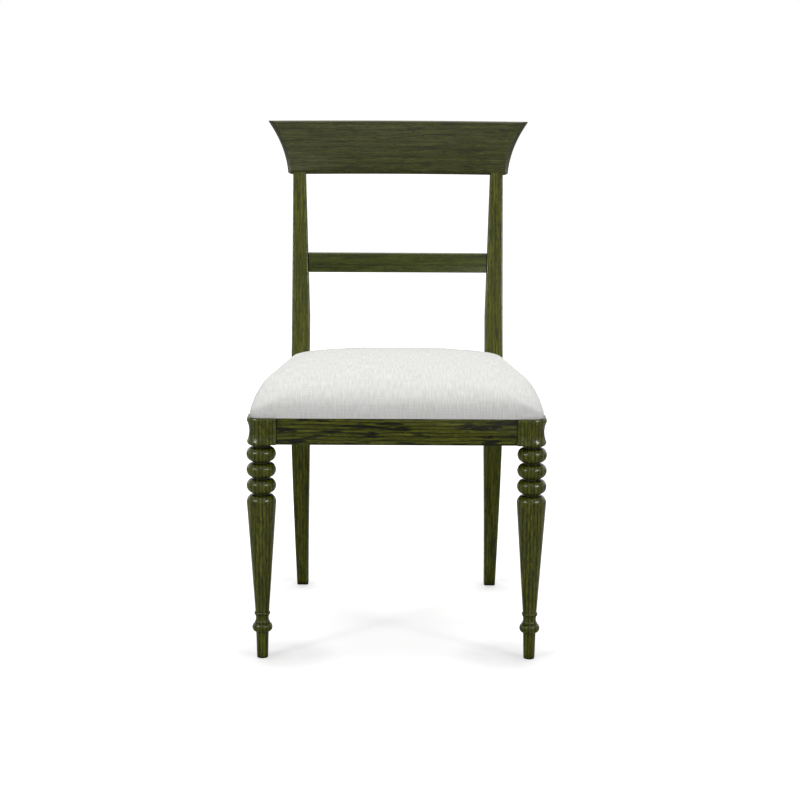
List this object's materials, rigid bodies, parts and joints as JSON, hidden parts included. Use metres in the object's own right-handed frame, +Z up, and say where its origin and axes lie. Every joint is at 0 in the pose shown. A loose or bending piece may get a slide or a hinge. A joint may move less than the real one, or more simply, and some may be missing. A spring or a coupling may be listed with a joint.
{
  "type": "klismos dining chair",
  "caption": "Side chair with turned front legs, sabre rear legs, a flared hollowed crest rail, a plain back rail and a crowned upholstered seat pad.",
  "frame": {"origin": "on the floor, under the middle of the chair's box", "axes": "+Z up, -Y out of the front of the seat, +X to the right as seen from the front"},
  "size_m": [0.507, 0.5744, 0.892],
  "materials": {
    "stained_oak": "green-stained open-pore oak under a satin lacquer",
    "block_oak": "sawn, unfinished oak",
    "plywood": "sanded birch plywood",
    "foam": "cut upholstery foam",
    "linen": "off-white slubby linen weave, matte",
    "cambric": "black bonded cambric, matte",
    "screw_steel": "zinc-plated steel"
  },
  "bodies": {
    "root": {"front_leg_left": "stained_oak", "front_leg_right": "stained_oak", "front_seat_rail": "stained_oak", "rear_seat_rail": "stained_oak", "side_seat_rail_left": "stained_oak", "side_seat_rail_right": "stained_oak", "rear_leg_left": "stained_oak", "rear_leg_right": "stained_oak", "back_rail": "stained_oak", "crest_rail": "stained_oak", "front_corner_block_left": "block_oak", "front_corner_block_right": "block_oak", "rear_corner_block_left": "block_oak", "rear_corner_block_right": "block_oak", "seat_board": "plywood", "seat_foam": "foam", "seat_cover": "linen", "dust_cover": "cambric", "front_rail_screw_left": "screw_steel", "front_rail_screw_right": "screw_steel", "front_side_rail_screw_left": "screw_steel", "front_side_rail_screw_right": "screw_steel", "front_seat_screw_left": "screw_steel", "front_seat_screw_right": "screw_steel", "rear_rail_screw_left": "screw_steel", "rear_rail_screw_right": "screw_steel", "rear_side_rail_screw_left": "screw_steel", "rear_side_rail_screw_right": "screw_steel", "rear_seat_screw_left": "screw_steel", "rear_seat_screw_right": "screw_steel"}
  },
  "joints": []
}
